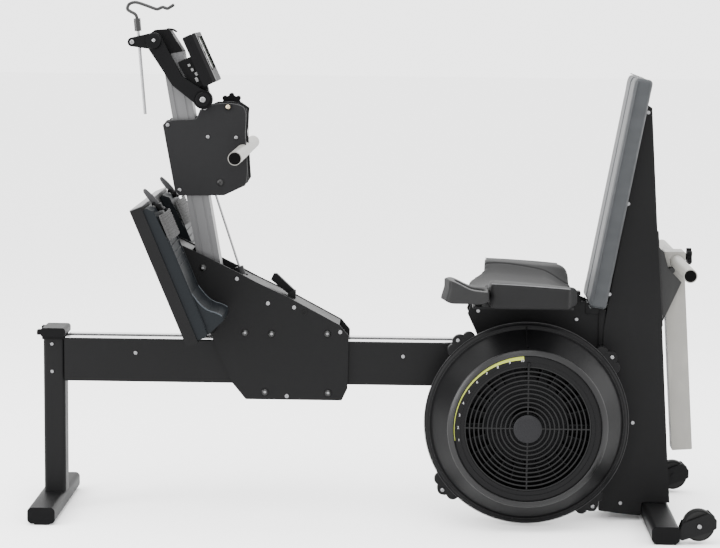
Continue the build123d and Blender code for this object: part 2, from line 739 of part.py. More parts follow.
def monitor_case():
    """Rear shell, connector box and the lug that turns on the arm's lower pin."""
    half = MONITOR_HALF
    shell = slab([monitor_run(a, o) for a, o in ((-half, -18), (half, -18), (half, 9), (-half, 9))],
                 -MONITOR_SIDE, MONITOR_SIDE, 5)
    box = slab([monitor_run(a, o) for a, o in ((-50, -36), (10, -36), (16, -18), (-60, -18))], -32, 40, 4)
    box += slab([monitor_run(a, o) for a, o in ((-64, -50), (17, -57), (17, -18), (-64, -18))], -49, -32, 3)
    lug_shape = link(ARM_LOW, 17, monitor_run(-44, -24), 17)
    neck = across(lug_shape, -40, -14)
    pin = disc(ARM_LOW, 5, ARM_Y[0] - 2, -14)
    head = disc(ARM_LOW, 9, ARM_Y[0] - 6, ARM_Y[0] - 0.4)
    return shell + box + neck + pin + head


def monitor_bezel():
    """Front frame of the monitor, open over the screen and over each key."""
    half = MONITOR_HALF
    frame = slab([monitor_run(a, o) for a, o in ((-half, 9), (half, 9), (half, 18), (-half, 18))],
                 -MONITOR_SIDE, MONITOR_SIDE, 4)
    window = slab([monitor_run(a, o) for a, o in ((-34, 14), (56, 14), (56, 30), (-34, 30))], -48, 58)
    frame -= window
    for n in range(KEYS):
        frame -= key_bar(n, KEY_R + 0.4, 8, 30)
    return frame


KEYS = 5
KEY_R = 5.5
KEY_Y = -62


def key_bar(n, radius, low, high):
    """A round bar along the monitor's outward normal, at one key's place."""
    start = monitor_run(-32 + 21 * n, low)
    a = radians(MONITOR_LEAN)
    place = Plane(origin=(start[0], KEY_Y, start[1]), z_dir=(cos(a), 0, sin(a)))
    return extrude(place * Circle(radius), amount=high - low)


def device_holder():
    """Sliding rod with a sleeve and the bent wire that grips a device's top edge."""
    rod = between(HOLDER_TOP, HOLDER_FOOT, ROD_Y, ROD_R, 8)
    ux = (HOLDER_TOP[0] - HOLDER_FOOT[0]) / hypot(18, 216)
    uz = (HOLDER_TOP[1] - HOLDER_FOOT[1]) / hypot(18, 216)
    low = (HOLDER_TOP[0], HOLDER_TOP[1])
    high = (HOLDER_TOP[0] + ux * 22, HOLDER_TOP[1] + uz * 22)
    sleeve = between(low, high, ROD_Y, 8)
    top = (high[0] + ux * 4, high[1] + uz * 4)
    route = FilletPolyline(
        (top[0] - ux * 8, ROD_Y, top[1] - uz * 8), (-621, ROD_Y, 1322), (-641, ROD_Y, 1332), (-634, ROD_Y, 1348),
        (-616, ROD_Y, 1352), (-562, ROD_Y, 1333), (-549, ROD_Y, 1341), (-536, ROD_Y, 1334), (-518, ROD_Y, 1347),
        radius=4)
    wire = sweep(Plane(route @ 0, z_dir=route % 0) * Circle(2), path=route)
    return rod + sleeve + wire


# ---- stored handle ------------------------------------------------------------------------
def stored_handle():
    """Spare T-handle hung behind the back rest: upright tube, head block, grips and end plugs."""
    x, z = STORED_BAR
    lean = -4
    foot = (828, 186)

    def at(pairs):
        return leaned_points(foot, -lean, pairs)
    tube = slab(at([(0, -27), (490, -27), (490, 27), (0, 27)]), -25, 25, 3)
    tube -= slab(at([(-1, -24), (491, -24), (491, 24), (-1, 24)]), -22, 22)
    head = slab([(766, 676), (822, 676), (822, 716), (766, 716)], -34, 34, 5)
    bar = disc(STORED_BAR, HANDLE_R, -STORED_SIDE, STORED_SIDE)
    return [tube - head, head - bar, bar]


def stored_knob():
    centre_z = 700
    face = Circle(16)
    lobes = 5
    for n in range(lobes):
        angle = 2 * pi * n / lobes
        face += Pos(17 * cos(angle), 17 * sin(angle)) * Circle(6)
    place = Plane(origin=(828, 0, centre_z), x_dir=(0, 1, 0), z_dir=(1, 0, 0))
    head = extrude(place * face, amount=13)
    stem = extrude(Plane(origin=(822.4, 0, centre_z), z_dir=(1, 0, 0)) * Circle(8), amount=6)
    return head + stem


FRAME_SCREWS = ((-623, 430, RAIL_SIDE, 5), (85, 430, RAIL_SIDE, 5), (-848, 448, POST_SIDE, 4.5),
                (-848, 374, POST_SIDE, 4.5), (281, 555, RAIL_SIDE + 4, 5), (539, 536, RAIL_SIDE + 4, 5),
                (712, 1081, CARRIAGE_SIDE, 5), (666, 843, CARRIAGE_SIDE, 5), (623, 605, CARRIAGE_SIDE, 5),
                (692, 264, CARRIAGE_SIDE, 5), (665, 47, CARRIAGE_SIDE, 5))


def frame_screws():
    heads = []
    for x, z, side, radius in FRAME_SCREWS:
        heads += both_sides(button_head((x, z), radius, -side, -1))
    for angle in LUG_ANGLES:
        heads.append(button_head(lug_centre(angle), 5.5, -142, -1))
    return heads


def main():
    keep("front_foot", foot_tube(FRONT_FOOT_X, FRONT_FOOT_SIDE))
    ends = []
    for x, side, width in ((FRONT_FOOT_X, FRONT_FOOT_SIDE, 40), (REAR_FOOT_X, REAR_FOOT_SIDE, 56)):
        ends += foot_caps(x, side) + foot_pads(x, side, width)
    keep("foot_caps_and_pads", ends)
    keep("front_post", front_post())
    keep("rail", rail())
    keep("rail_tracks", rail_tracks())
    keep("rail_end_cap", rail_end_cap())
    keep("frame_screws", frame_screws())
    keep("drive_plates", drive_plates())
    keep("axle_bearings", axle_bearings())
    keep("chain_guides", chain_guides())
    keep("drive_chain", drive_chain())
    keep("fan_housing_back", fan_housing_back())
    keep("fan_housing_front", fan_housing_front())
    keep("fan_grille", fan_grille())
    keep("seat_frame", seat_frame())
    keep("seat_pad", seat_pad())
    keep("seat_grip", seat_grip())
    keep("back_frame", back_frame())
    keep("back_pad", back_pad())
    keep("rear_foot", foot_tube(REAR_FOOT_X, REAR_FOOT_SIDE))
    keep("caster_arms", caster_arms())
    keep("storage_bracket", storage_bracket())
    keep("damper_ring", damper_ring())
    keep("flywheel", flywheel())
    keep("drive_sprocket", drive_sprocket())
    keep("front_idler", idler(FRONT_IDLER))
    keep("rear_idler", idler(REAR_IDLER))
    keep("caster_wheel_near", caster_wheel(-1))
    keep("caster_wheel_far", caster_wheel(1))
    keep("carriage_plates", carriage_plates() + column_base())
    keep("carriage_cover", carriage_cover())
    keep("carriage_screws", carriage_screws())
    keep("column", column())
    keep("column_head", column_head())
    keep("foot_plate", foot_plate())
    keep("foot_boards", foot_boards())
    keep("foot_straps", foot_straps())
    for n, centre in enumerate(UPPER_ROLLERS):
        keep(f"upper_roller_{n + 1}", roller(centre, ROLLER_R))
    for n, centre in enumerate(LOWER_ROLLERS):
        keep(f"lower_roller_{n + 1}", roller(centre, ROLLER_R))
    keep("selector_lever", selector_lever())
    keep("heel_cup_near", heel_cup(-1))
    keep("heel_cup_far", heel_cup(1))
    keep("strut_cylinder", strut_cylinder())
    keep("strut_rod", strut_rod())
    keep("slider_plates", slider_plates())
    keep("handle_bar", handle_bar())
    keep("slider_knob", slider_knob())
    keep("monitor_arm", monitor_arm())
    keep("monitor_case", monitor_case())
    keep("monitor_bezel", monitor_bezel())
    for n in range(KEYS):
        keep(f"monitor_key_{n + 1}", key_bar(n, KEY_R, 11.5, 21))
    keep("device_holder", device_holder())
    keep("stored_handle", stored_handle())
    keep("stored_knob", stored_knob())


main()
os.makedirs("parts", exist_ok=True)
for name, shape in PARTS.items():
    export_step(shape, f"parts/{name}.step")
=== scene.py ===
import bmesh
import bpy
import json
from math import cos, pi, radians, sin
from mathutils import Matrix, Vector


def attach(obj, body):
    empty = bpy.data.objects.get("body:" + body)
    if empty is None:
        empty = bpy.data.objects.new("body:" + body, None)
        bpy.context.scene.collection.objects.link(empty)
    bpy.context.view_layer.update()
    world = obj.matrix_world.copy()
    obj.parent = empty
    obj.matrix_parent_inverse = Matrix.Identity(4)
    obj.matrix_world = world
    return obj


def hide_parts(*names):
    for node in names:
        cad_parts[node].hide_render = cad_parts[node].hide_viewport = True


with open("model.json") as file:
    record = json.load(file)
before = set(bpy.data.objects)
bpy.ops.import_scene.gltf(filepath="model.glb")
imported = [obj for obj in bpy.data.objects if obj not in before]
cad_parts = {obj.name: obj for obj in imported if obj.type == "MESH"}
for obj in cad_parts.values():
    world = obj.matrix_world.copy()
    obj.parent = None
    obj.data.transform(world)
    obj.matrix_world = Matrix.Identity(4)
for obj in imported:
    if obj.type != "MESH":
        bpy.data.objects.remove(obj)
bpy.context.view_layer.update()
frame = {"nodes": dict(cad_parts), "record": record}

NODES = frame["nodes"]
MM = 0.001


# ---- camera and studio --------------------------------------------------------------------
def make_camera():
    """A long lens at chest height, level with the machine's middle and looking slightly down."""
    data = bpy.data.cameras.new("camera")
    data.lens = 109.45
    data.sensor_width = 36.0
    camera = bpy.data.objects.new("camera", data)
    bpy.context.scene.collection.objects.link(camera)
    camera.location = (0.115, -5.750, 1.388)
    turn = Matrix.Rotation(radians(1.4655), 4, "Z")
    tilt = Matrix.Rotation(radians(90 - 7.3898), 4, "X")
    roll = Matrix.Rotation(radians(0.56), 4, "Z")
    camera.matrix_world = Matrix.Translation(camera.location) @ turn @ tilt @ roll
    data.clip_end = 100
    bpy.context.scene.camera = camera


def area_light(name, place, target, size, power):
    data = bpy.data.lights.new(name, "AREA")
    data.shape = "RECTANGLE"
    data.size, data.size_y = size
    data.energy = power
    lamp = bpy.data.objects.new(name, data)
    bpy.context.scene.collection.objects.link(lamp)
    lamp.location = place
    lamp.rotation_mode = "QUATERNION"
    lamp.rotation_quaternion = (Vector(target) - Vector(place)).to_track_quat("-Z", "Y")


def make_studio():
    world = bpy.data.worlds.new("studio")
    world.use_nodes = True
    back = world.node_tree.nodes["Background"]
    back.inputs["Color"].default_value = (1, 1, 1, 1)
    back.inputs["Strength"].default_value = 3.4
    bpy.context.scene.world = world
    area_light("overhead", (-0.6, -0.8, 3.6), (0, 0, 0.4), (3.4, 2.2), 150)
    area_light("left_panel", (-3.2, -1.6, 1.7), (0, 0, 0.7), (1.6, 2.6), 150)
    area_light("right_panel", (3.3, 0.6, 1.9), (0.2, 0, 0.7), (1.4, 2.6), 70)
    area_light("front_strip", (0.4, -4.2, 2.6), (0.1, 0, 0.5), (2.6, 0.7), 45)


def make_floor():
    mesh = bpy.data.meshes.new("floor")
    form = bmesh.new()
    bmesh.ops.create_grid(form, x_segments=1, y_segments=1, size=30)
    form.to_mesh(mesh)
    form.free()
    floor = bpy.data.objects.new("floor", mesh)
    bpy.context.scene.collection.objects.link(floor)
    paper = bpy.data.materials.new("studio_paper")
    paper.use_nodes = True
    shader = paper.node_tree.nodes["Principled BSDF"]
    shader.inputs["Base Color"].default_value = (0.93, 0.93, 0.93, 1)
    shader.inputs["Roughness"].default_value = 0.9
    mesh.materials.append(paper)


# ---- materials ----------------------------------------------------------------------------
class Field:
    """A number that varies over a surface, held as a shader node's output."""

    def __init__(self, finish, socket):
        self.finish = finish
        self.socket = socket

    def maths(self, operation, first, second):
        return self.finish.node("Math", {"operation": operation}, first, second)

    def __add__(self, other):
        return self.maths("ADD", self, other)

    __radd__ = __add__

    def __sub__(self, other):
        return self.maths("SUBTRACT", self, other)

    def __rsub__(self, other):
        return self.maths("SUBTRACT", other, self)

    def __mul__(self, other):
        return self.maths("MULTIPLY", self, other)

    __rmul__ = __mul__

    def wave(self):
        return self.maths("SINE", self, 0.0)


class Finish:
    """One surface finish: a Principled shader, and the nodes that vary it."""

    def __init__(self, name, colour, roughness=0.5, metallic=0.0, **extra):
        self.material = bpy.data.materials.new(name)
        self.material.use_nodes = True
        self.tree = self.material.node_tree
        self.shader = self.tree.nodes["Principled BSDF"]
        self.colour = colour
        self.set("Base Color", (*colour, 1.0))
        self.set("Roughness", roughness)
        self.set("Metallic", metallic)
        for key, value in extra.items():
            self.set(key.replace("_", " ").title().replace("Ior", "IOR"), value)
        self.place = self.node("TexCoord", {"output": "Object"})

    def set(self, socket, value):
        """Link a varying value to a shader socket, or set a plain one on it."""
        if isinstance(value, Field):
            self.tree.links.new(value.socket, self.shader.inputs[socket])
        else:
            self.shader.inputs[socket].default_value = value

    def node(self, kind, settings, *values, **named):
        """Add a shader node: its settings first, then the values or links of its sockets."""
        made = self.tree.nodes.new("ShaderNode" + kind)
        settings = dict(settings)
        output = settings.pop("output", 0)
        stops = settings.pop("stops", None)
        for key, value in settings.items():
            setattr(made, key, value)
        if stops:
            ramp = made.color_ramp
            while len(ramp.elements) < len(stops):
                ramp.elements.new(0.5)
            for element, (position, level) in zip(ramp.elements, stops):
                element.position = position
                element.color = (level, level, level, 1)
        inputs = list(enumerate(values)) + [(k, v) for k, v in named.items()]
        for key, value in inputs:
            if isinstance(value, Field):
                self.tree.links.new(value.socket, made.inputs[key])
            else:
                made.inputs[key].default_value = value
        return Field(self, made.outputs[output])

    def stretched(self, scale):
        """Object coordinates, scaled differently along each axis."""
        return self.node("Mapping", {}, Vector=self.place, Scale=scale)

    def noise(self, scale, detail=3.0, stretch=None):
        where = self.stretched(stretch) if stretch else self.place
        return self.node("TexNoise", {"output": "Fac"}, Vector=where, Scale=scale, Detail=detail)

    def cells(self, scale, stretch=None):
        where = self.stretched(stretch) if stretch else self.place
        return self.node("TexVoronoi", {"output": "Distance"}, Vector=where, Scale=scale)

    def ramp(self, value, *stops):
        return self.node("ValToRGB", {"stops": stops, "output": "Color"}, value)

    def axis(self, letter):
        return self.node("SeparateXYZ", {"output": letter}, self.place)

    def tint(self, factor, dark, light):
        """Colour the surface between two strengths of its own colour."""
        low = tuple(c * dark for c in self.colour) + (1.0,)
        high = tuple(min(1.0, c * light) for c in self.colour) + (1.0,)
        mixed = self.node("Mix", {"data_type": "RGBA", "output": 2})
        mixer = mixed.socket.node
        self.tree.links.new(factor.socket, mixer.inputs[0])
        mixer.inputs[6].default_value = low
        mixer.inputs[7].default_value = high
        self.set("Base Color", mixed)

    def bump(self, height, strength, distance=0.001):
        made = self.node("Bump", {}, Height=height, Strength=strength, Distance=distance)
        self.set("Normal", made)


def powder_coat(name, colour, roughness, gloss):
    """Textured paint: a fine orange-peel grain, with faint handling marks."""
    finish = Finish(name, colour, specular_ior_level=gloss)
    grain = finish.noise(1500, 2.0)
    patch = finish.noise(9, 4.0)
    marks = finish.ramp(finish.noise(34, 6.0, (1, 1, 0.25)), (0.56, 0.0), (0.72, 1.0))
    finish.tint(patch * 0.7 + marks * 0.3, 0.82, 1.3)
    finish.set("Roughness", patch * 0.12 + grain * 0.08 + (roughness - 0.1))
    finish.bump(grain + marks * 0.1, 0.22, 0.0004)
    return finish.material


def moulded(name, colour, roughness, grain_size, gloss):
    """Injection-moulded plastic with a spark-eroded grain."""
    finish = Finish(name, colour, specular_ior_level=gloss)
    grain = finish.cells(grain_size)
    patch = finish.noise(14, 3.0)
    finish.tint(patch, 0.86, 1.22)
    finish.set("Roughness", patch * 0.1 + grain * 0.06 + (roughness - 0.08))
    finish.bump(grain, 0.18, 0.0003)
    return finish.material


def rubber(name, colour, roughness=0.72, gloss=0.12):
    finish = Finish(name, colour, specular_ior_level=gloss)
    grain = finish.noise(1100, 3.0)
    dust = finish.noise(22, 5.0)
    finish.tint(dust, 0.8, 1.35)
    finish.set("Roughness", grain * 0.12 + (roughness - 0.06))
    finish.bump(grain, 0.3, 0.0004)
    return finish.material


def brushed(name, colour, roughness, stretch, metallic=1.0):
    """Metal with fine lines along one direction."""
    finish = Finish(name, colour, metallic=metallic)
    lines = finish.noise(420, 4.0, stretch)
    cloud = finish.noise(6, 3.0)
    finish.tint(lines * 0.6 + cloud * 0.4, 0.82, 1.14)
    finish.set("Roughness", lines * 0.16 + cloud * 0.06 + (roughness - 0.1))
    finish.bump(lines, 0.12, 0.0002)
    return finish.material


def woven(name, colour, threads, roughness=0.8, sheen=0.25, relief=0.5):
    """Cloth or webbing: two crossed sets of threads."""
    finish = Finish(name, colour, sheen_weight=sheen, sheen_roughness=0.45)
    step = 2 * pi * threads
    warp = (finish.axis("Y") * step).wave()
    weft = (finish.axis("Z") * step).wave()
    weave = warp * weft * 0.5 + 0.5
    patch = finish.noise(18, 4.0)
    finish.tint(weave * 0.35 + patch * 0.65, 0.78, 1.18)
    finish.set("Roughness", weave * 0.1 + (roughness - 0.05))
    finish.bump(weave + finish.noise(900, 2.0) * 0.5, relief, 0.0004)
    return finish.material


def vinyl(name, colour, roughness=0.52):
    """Upholstery vinyl: a pebbled leather grain with soft creases."""
    finish = Finish(name, colour, specular_ior_level=0.22, sheen_weight=0.05)
    pebbles = finish.cells(520)
    fine = finish.noise(1400, 2.0)
    crease = finish.ramp(finish.noise(16, 5.0, (1, 1, 2.4)), (0.4, 0.0), (0.62, 1.0))
    finish.tint(crease * 0.6 + pebbles * 0.4, 0.86, 1.12)
    finish.set("Roughness", pebbles * 0.14 + fine * 0.08 + (roughness - 0.08))
    finish.bump(pebbles * 0.8 + fine * 0.25 + crease * 0.3, 0.34, 0.0005)
    return finish.material


def printed(name, colour):
    finish = Finish(name, colour, 0.45)
    finish.tint(finish.noise(60, 3.0), 0.93, 1.05)
    return finish.material


def screen_glass(name):
    finish = Finish(name, (0.045, 0.052, 0.043), 0.16, coat_weight=0.4, coat_roughness=0.05)
    finish.tint(finish.noise(12, 2.0), 0.9, 1.15)
    return finish.material


def make_finishes():
    return {
        "black_paint": powder_coat("black_powder_coat", (0.0028, 0.0028, 0.003), 0.5, 0.09),
        "rail_paint": powder_coat("rail_black", (0.0027, 0.0027, 0.0029), 0.42, 0.09),
        "slider_paint": powder_coat("slider_dark_grey", (0.0042, 0.0042, 0.0046), 0.52, 0.11),
        "dark_paint": powder_coat("dark_grey_powder_coat", (0.0085, 0.0085, 0.009), 0.5, 0.16),
        "bracket_paint": powder_coat("bracket_grey", (0.011, 0.011, 0.011), 0.52, 0.18),
        "bolt_black": powder_coat("black_oxide", (0.004, 0.004, 0.004), 0.3, 0.3),
        "steel_track": brushed("stainless_track", (0.62, 0.62, 0.63), 0.26, (0.02, 1, 1)),
        "screw_steel": brushed("zinc_screw", (0.17, 0.17, 0.174), 0.28, (1, 1, 1)),
        "brass": brushed("nickel_brass", (0.36, 0.30, 0.21), 0.22, (1, 1, 1)),
        "bearing_steel": brushed("ground_steel", (0.26, 0.26, 0.27), 0.3, (1, 1, 1)),
        "rod_steel": brushed("bright_rod", (0.2, 0.2, 0.205), 0.24, (1, 1, 0.05)),
        "black_plastic": moulded("black_moulding", (0.0013, 0.0013, 0.0015), 0.44, 900, 0.06),
        "fan_plastic": moulded("fan_moulding", (0.0021, 0.0021, 0.0023), 0.46, 1200, 0.09),
        "fan_ring": moulded("fan_ring_moulding", (0.0028, 0.0028, 0.003), 0.3, 1200, 0.24),
        # painted highlight: lighter grey for the bright rim lines on the fan's flange edges
        "fan_edge_highlight": moulded("fan_edge_painted_highlight", (0.0125, 0.0125, 0.013), 0.34, 1200, 0.3),
        "grille_plastic": moulded("grille_moulding", (0.0024, 0.0024, 0.0026), 0.34, 1200, 0.16),
        "hub_plastic": moulded("hub_moulding", (0.0045, 0.0045, 0.0053), 0.4, 1200, 0.14),
        "rubber": rubber("black_rubber", (0.003, 0.003, 0.003)),
        "plug_black": rubber("plug_black", (0.0012, 0.0012, 0.0012), 0.8, 0.03),
        "seat_foam": rubber("seat_skin", (0.0036, 0.0036, 0.0038), 0.58),
        # painted highlight: lighter rubber for the line of light along the seat's outer edges
        "seat_rim_highlight": rubber("seat_rim_painted_highlight", (0.085, 0.085, 0.087), 0.45),
        "grip_plastic": rubber("grip_skin", (0.0088, 0.0088, 0.009), 0.52),
        "pad_fabric": vinyl("pad_vinyl", (0.0195, 0.0213, 0.0233)),
        "piping": vinyl("pad_piping", (0.0165, 0.018, 0.0197)),
        "thread": rubber("pad_thread", (0.012, 0.012, 0.013), 0.7),
        "alloy": brushed("anodised_column", (0.085, 0.085, 0.0868), 0.42, (1, 1, 0.03), 0.8),
        "rotor_alloy": brushed("flywheel_alloy", (0.01, 0.01, 0.0105), 0.5, (1, 1, 1)),
        "foot_plastic": moulded("foot_board_grey_blue", (0.0034, 0.0044, 0.0054), 0.48, 900, 0.09),
        "foot_edge": moulded("heel_rim", (0.017, 0.021, 0.0255), 0.42, 900, 0.24),
        "strap_web": woven("toe_webbing", (0.0125, 0.0123, 0.0125), 420, 0.8, 0.05),
        "strap_rib": woven("toe_webbing_rib", (0.006, 0.0059, 0.006), 420, 0.8, 0.04),
        "tongue_grey": rubber("tongue_grey", (0.022, 0.022, 0.023), 0.5),
        # painted reflection: light grey for the board's top edge, which mirrors the white surroundings at a
        # grazing angle
        "lip_painted_reflection": powder_coat("board_lip_painted_reflection", (0.07, 0.07, 0.073), 0.4, 0.3),
        "pale_paint": powder_coat("pale_powder_coat", (0.155, 0.151, 0.139), 0.42, 0.3),
        # painted highlight: lighter grey line for light caught along the slider plates' rims
        "edge_painted_highlight": powder_coat("slider_plate_edge_highlight", (0.02, 0.02, 0.0205), 0.4, 0.3),
        "roller_plastic": moulded("roller_nylon", (0.008, 0.008, 0.008), 0.4, 900, 0.2),
        "chain_steel": brushed("chain_nickel", (0.2, 0.2, 0.2), 0.32, (0.4, 1, 1)),
        "key_rubber": rubber("key_rubber", (0.004, 0.004, 0.0042)),
        "bezel_plastic": moulded("bezel_dark_silver", (0.0042, 0.0042, 0.0044), 0.5, 900, 0.06),
        "socket_grey": moulded("socket_pale", (0.11, 0.11, 0.11), 0.4, 900, 0.3),
        "wheel_plastic": moulded("wheel_black", (0.0034, 0.0034, 0.0034), 0.4, 900, 0.14),
        "scale_green": printed("scale_yellow_green", (0.22, 0.25, 0.012)),
        "scale_white": printed("numeral_white", (0.3, 0.3, 0.3)),
        "screen": screen_glass("display_glass"),
    }


# Nodes whose finish is not simply their record slot's own.
SPECIAL = {
    "carriage_cover": "rail_paint",
    "rail": "rail_paint",
    "storage_bracket": "bracket_paint",
    "slider_plates": "slider_paint",
    "flywheel": "rotor_alloy",
    "strut_rod": "rod_steel",
    "device_holder": "rod_steel",
    "fan_grille": "grille_plastic",
}


def finish_cad_nodes(finishes):
    slots = {row["node"]: row["material_slot"] for row in frame["record"]["subparts"]}
    for name, thing in NODES.items():
        thing.data.materials.clear()
        thing.data.materials.append(finishes[SPECIAL.get(name, slots[name])])


# ---- shapes, drawn in millimetres ---------------------------------------------------------
def leaning(origin, degrees_back, y=0.0):
    """A frame whose Z runs up a line that leans back towards -X, and whose X points out of it."""
    foot = Matrix.Translation((origin[0], y, origin[1]))
    return foot @ Matrix.Rotation(radians(-degrees_back), 4, "Y")


def at(x, y, z):
    return Matrix.Translation((x, y, z))


def at_pivot(centre, y=0):
    return at(centre[0], y, centre[1])


class Shape:
    """A solid under construction, gathered from simple forms."""

    def __init__(self):
        self.form = bmesh.new()

    def add(self, form, place=Matrix()):
        bmesh.ops.recalc_face_normals(form, faces=form.faces)
        bmesh.ops.transform(form, matrix=place, verts=form.verts)
        spare = bpy.data.meshes.new("spare")
        form.to_mesh(spare)
        form.free()
        self.form.from_mesh(spare)
        bpy.data.meshes.remove(spare)
        return self

    def both_sides(self):
        """Add the same solid again on the far side of the machine."""
        whole = self.form.verts[:] + self.form.edges[:] + self.form.faces[:]
        copied = bmesh.ops.duplicate(self.form, geom=whole)
        verts = [g for g in copied["geom"] if isinstance(g, bmesh.types.BMVert)]
        faces = [g for g in copied["geom"] if isinstance(g, bmesh.types.BMFace)]
        bmesh.ops.scale(self.form, vec=(1, -1, 1), verts=verts)
        bmesh.ops.reverse_faces(self.form, faces=faces)
        return self


def plate(points, low, high, edge=0.0, steps=2):
    """A flat plate with this outline in X and Z, between two values of Y."""
    form = bmesh.new()
    face = form.faces.new([form.verts.new((x, low, z)) for x, z in points])
    grown = bmesh.ops.extrude_face_region(form, geom=[face])
    moved = [g for g in grown["geom"] if isinstance(g, bmesh.types.BMVert)]
    bmesh.ops.translate(form, vec=(0, high - low, 0), verts=moved)
    bmesh.ops.recalc_face_normals(form, faces=form.faces)
    if edge:
        round_edges(form, form.edges[:], edge, steps)
    return form


def round_edges(form, edges, width, steps=2):
    bmesh.ops.bevel(form, geom=edges, offset=width, offset_type="OFFSET", segments=steps, profile=0.5,
                    affect="EDGES", material=-1, clamp_overlap=True)


def block(size, edge=1.0, steps=2):
    form = bmesh.new()
    bmesh.ops.create_cube(form, size=1.0)
    bmesh.ops.scale(form, vec=size, verts=form.verts)
    round_edges(form, form.edges[:], edge, steps)
    return form


def turned(profile, steps=40):
    """A solid turned about Y from (radius, y) points that start and end on the axis, or close up."""
    form = bmesh.new()
    points = [form.verts.new((r, y, 0)) for r, y in profile]
    pairs = list(zip(points, points[1:]))
    if profile[0][0] > 0:
        pairs.append((points[-1], points[0]))
    edges = [form.edges.new(pair) for pair in pairs]
    bmesh.ops.spin(form, geom=points + edges, cent=(0, 0, 0), axis=(0, 1, 0), angle=2 * pi, steps=steps,
                   use_merge=True, use_duplicate=False)
    bmesh.ops.remove_doubles(form, verts=form.verts, dist=0.001)
    bmesh.ops.recalc_face_normals(form, faces=form.faces)
    return form


def dome(radius, height, foot=0.0):
    """A domed head on the near side: its seat at y = foot, its crown towards -Y."""
    rise = [(radius * cos(a), foot - height * (0.35 + 0.65 * sin(a))) for a in
            [radians(d) for d in (0, 20, 40, 60, 75)]]
    return turned([(0, foot), (radius, foot)] + rise + [(0, foot - height)], 24)


def socket_head(radius, height, foot=0.0):
    """A button head with a recessed drive in its crown."""
    shoulder = foot - height * 0.4
    crown = foot - height
    outside = [(0, foot), (radius, foot), (radius, shoulder), (radius * 0.86, foot - height * 0.8)]
    recess = [(radius * 0.62, crown), (radius * 0.42, crown), (radius * 0.36, shoulder), (0, shoulder)]
    return turned(outside + recess, 24)


def wire(points, radius, steps=10):
    """A round wire along a smooth line led by these points."""
    curve = bpy.data.curves.new("wire", "CURVE")
    curve.dimensions = "3D"
    curve.bevel_depth = radius
    curve.bevel_resolution = 3
    curve.resolution_u = steps
    curve.use_fill_caps = True
    spline = curve.splines.new("NURBS")
    spline.points.add(len(points) - 1)
    for point, place in zip(spline.points, points):
        point.co = (*place, 1.0)
    spline.order_u = 3
    spline.use_endpoint_u = True
    holder = bpy.data.objects.new("wire", curve)
    mesh = bpy.data.meshes.new_from_object(holder)
    form = bmesh.new()
    form.from_mesh(mesh)
    bpy.data.objects.remove(holder)
    bpy.data.curves.remove(curve)
    bpy.data.meshes.remove(mesh)
    bmesh.ops.remove_doubles(form, verts=form.verts, dist=0.001)
    return form


def numeral(text, height, depth):
    """A printed numeral, standing a hair proud of the face at y = 0, towards -Y."""
    curve = bpy.data.curves.new("numeral", "FONT")
    curve.body = text
    curve.size = height
    curve.align_x = "CENTER"
    curve.align_y = "CENTER"
    curve.extrude = depth
    holder = bpy.data.objects.new("numeral", curve)
    mesh = bpy.data.meshes.new_from_object(holder)
    form = bmesh.new()
    form.from_mesh(mesh)
    bpy.data.objects.remove(holder)
    bpy.data.curves.remove(curve)
    bpy.data.meshes.remove(mesh)
    bmesh.ops.remove_doubles(form, verts=form.verts, dist=0.001)
    upright = Matrix.Rotation(radians(90), 3, "X")
    bmesh.ops.rotate(form, cent=(0, 0, 0), matrix=upright, verts=form.verts)
    return form


def add_piece(name, shape, body, finish, replaces=(), sharp=38):
    """Finish a solid as a piece of the machine, riding on one of its bodies."""
    form = shape.form if isinstance(shape, Shape) else shape
    bmesh.ops.scale(form, vec=(MM, MM, MM), verts=form.verts)
    mesh = bpy.data.meshes.new(name)
    form.to_mesh(mesh)
    form.free()
    for face in mesh.polygons:
        face.use_smooth = True
    mesh.set_sharp_from_angle(angle=radians(sharp))
    piece = bpy.data.objects.new(name, mesh)
    bpy.context.scene.collection.objects.link(piece)
    mesh.materials.append(FINISH[finish])
    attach(piece, body)
    if replaces:
        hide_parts(*replaces)
    return piece


def replace_mesh(piece, modifier_type, **settings):
    """Apply one modifier to a piece and keep its result as the mesh."""
    modifier = piece.modifiers.new("step", modifier_type)
    for key, value in settings.items():
        setattr(modifier, key, value)
    graph = bpy.context.evaluated_depsgraph_get()
    made = bpy.data.meshes.new_from_object(piece.evaluated_get(graph))
    piece.modifiers.remove(modifier)
    made.materials.clear()
    made.materials.append(piece.data.materials[0])
    old = piece.data
    piece.data = made
    bpy.data.meshes.remove(old)
    for face in made.polygons:
        face.use_smooth = True
    made.name = piece.name


def puff(piece, pressure, cap, frames=20):
    """Blow up a closed cover with cloth, moving no point by more than cap metres."""
    scene = bpy.context.scene
    start = [v.co.copy() for v in piece.data.vertices]
    cloth = piece.modifiers.new("cover", "CLOTH")
    cloth.settings.quality = 5
    cloth.settings.use_pressure = True
    cloth.settings.uniform_pressure_force = pressure
    cloth.settings.effector_weights.gravity = 0
    cloth.point_cache.frame_start = 1
    cloth.point_cache.frame_end = frames
    for frame_number in range(1, frames + 1):
        scene.frame_set(frame_number)
    graph = bpy.context.evaluated_depsgraph_get()
    blown = piece.evaluated_get(graph).data
    places = [v.co.copy() for v in blown.vertices]
    piece.modifiers.remove(cloth)
    scene.frame_set(1)
    for vertex, first, last in zip(piece.data.vertices, start, places):
        move = last - first
        if move.length > cap:
            move *= cap / move.length
        vertex.co = first + move


def smoothstep(low, high, value):
    t = min(1.0, max(0.0, (value - low) / (high - low)))
    return t * t * (3 - 2 * t)


# ---- back rest ----------------------------------------------------------------------------
BACK_PLACE = leaning((565, 582), -10.3)
PAD_SIZE = (43.5, 233, 612)
PAD_MIDDLE = (24.5, 0, 298.5)
PAD_HALF_WIDTH = 116.3
SEAM_DEPTH = 7.4
CHANNEL_DEPTH, CHANNEL_HALF_WIDTH = 0.0085, 0.013


